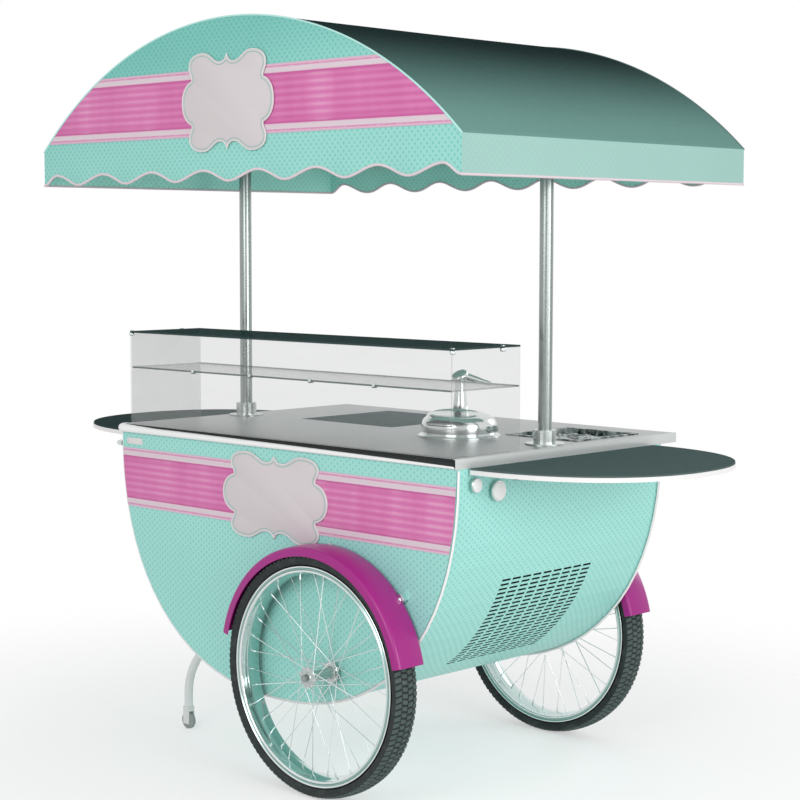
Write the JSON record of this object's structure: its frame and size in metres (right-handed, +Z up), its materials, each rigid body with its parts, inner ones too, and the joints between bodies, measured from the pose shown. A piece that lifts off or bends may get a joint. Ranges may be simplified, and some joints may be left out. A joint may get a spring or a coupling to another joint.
{
  "type": "ice cream cart",
  "caption": "Street vendor's cart: U-shaped tub on wire wheels, steel worktop, glass case, scalloped barrel canopy, folding end trays.",
  "frame": {"origin": "on the ground, midway along the tub and midway across it", "axes": "+X along the cart towards the end with the vents, +Y across it towards the vendor, +Z up"},
  "size_m": [2.294, 1.2, 2.1126],
  "materials": {
    "mint_board": "satin",
    "mint_cloth": "matt",
    "magenta_paint": "satin",
    "white_board": "gloss",
    "brushed_steel": "brushed",
    "chrome": "polished",
    "cold_stone": "speckled",
    "charcoal_mat": "matt",
    "glass": "clear",
    "rubber": "matt",
    "unit_grey": "satin"
  },
  "bodies": {
    "cart": {"side_panel_near": "mint_board", "side_panel_far": "mint_board", "tub_shell": "mint_board", "piping_near": "white_board", "piping_far": "white_board", "inner_shelf": "white_board", "unit_shelf": "white_board", "cooling_unit": "unit_grey", "door_hinge_1": "brushed_steel", "door_hinge_2": "brushed_steel", "worktop": "brushed_steel", "worktop_base": "white_board", "cold_plate": "cold_stone", "well_pan": "brushed_steel", "post_left": "brushed_steel", "post_right": "brushed_steel", "post_socket_left": "chrome", "post_socket_right": "chrome", "glass_top": "glass", "glass_front": "glass", "glass_end_left": "glass", "glass_end_right": "glass", "glass_shelf": "glass", "canopy_roof": "mint_cloth", "canopy_end_near": "mint_cloth", "canopy_end_far": "mint_cloth", "canopy_hoop_near": "brushed_steel", "canopy_hoop_far": "brushed_steel", "canopy_bearer_left": "brushed_steel", "canopy_bearer_right": "brushed_steel", "canopy_eave_rail_left": "brushed_steel", "canopy_eave_rail_right": "brushed_steel", "canopy_ridge_rail": "brushed_steel", "tray_bracket_left_near": "brushed_steel", "tray_bracket_left_far": "brushed_steel", "tray_bracket_right_near": "brushed_steel", "tray_bracket_right_far": "brushed_steel", "end_fitting_1": "chrome", "end_fitting_2": "chrome", "axle": "brushed_steel", "fender_near": "magenta_paint", "fender_far": "magenta_paint", "leg_bracket": "brushed_steel", "basin": "chrome", "basin_tap": "chrome"},
    "wheel_near_body": {"tyre_near": "rubber", "wheel_near": "chrome"},
    "wheel_far_body": {"tyre_far": "rubber", "wheel_far": "chrome"},
    "tray_left_body": {"tray_board_left": "white_board", "tray_mat_left": "charcoal_mat"},
    "tray_right_body": {"tray_board_right": "white_board", "tray_mat_right": "charcoal_mat"},
    "door_body": {"vendor_door": "mint_board", "vendor_door_knob": "brushed_steel"},
    "leg_body": {"leg_tube": "brushed_steel", "leg_fork": "brushed_steel"},
    "leg_wheel_body": {"leg_wheel": "rubber"}
  },
  "joints": [
    {"name": "wheel_near_spin", "type": "hinge", "parent": "cart", "child": "wheel_near_body", "pos_m": [0.236, -0.494, 0.334], "axis": [0, 1, 0], "continuous": true},
    {"name": "wheel_far_spin", "type": "hinge", "parent": "cart", "child": "wheel_far_body", "pos_m": [0.236, 0.494, 0.334], "axis": [0, 1, 0], "continuous": true},
    {"name": "tray_left_fold", "type": "hinge", "parent": "cart", "child": "tray_left_body", "pos_m": [-0.724, 0, 0.9014], "axis": [0, -1, 0], "range_deg": [0, 90]},
    {"name": "tray_right_fold", "type": "hinge", "parent": "cart", "child": "tray_right_body", "pos_m": [0.724, 0, 0.9014], "axis": [0, 1, 0], "range_deg": [0, 90]},
    {"name": "vendor_door_swing", "type": "hinge", "parent": "cart", "child": "door_body", "pos_m": [-0.5425, 0.4445, 0.69], "axis": [0, 0, 1], "range_deg": [0, 110]},
    {"name": "leg_fold", "type": "hinge", "parent": "cart", "child": "leg_body", "pos_m": [-0.43, -0.28, 0.31173], "axis": [0, -1, 0], "range_deg": [0, 90]},
    {"name": "leg_wheel_spin", "type": "hinge", "parent": "leg_body", "child": "leg_wheel_body", "pos_m": [-0.574, -0.28, 0.026], "axis": [0, 1, 0], "continuous": true}
  ]
}
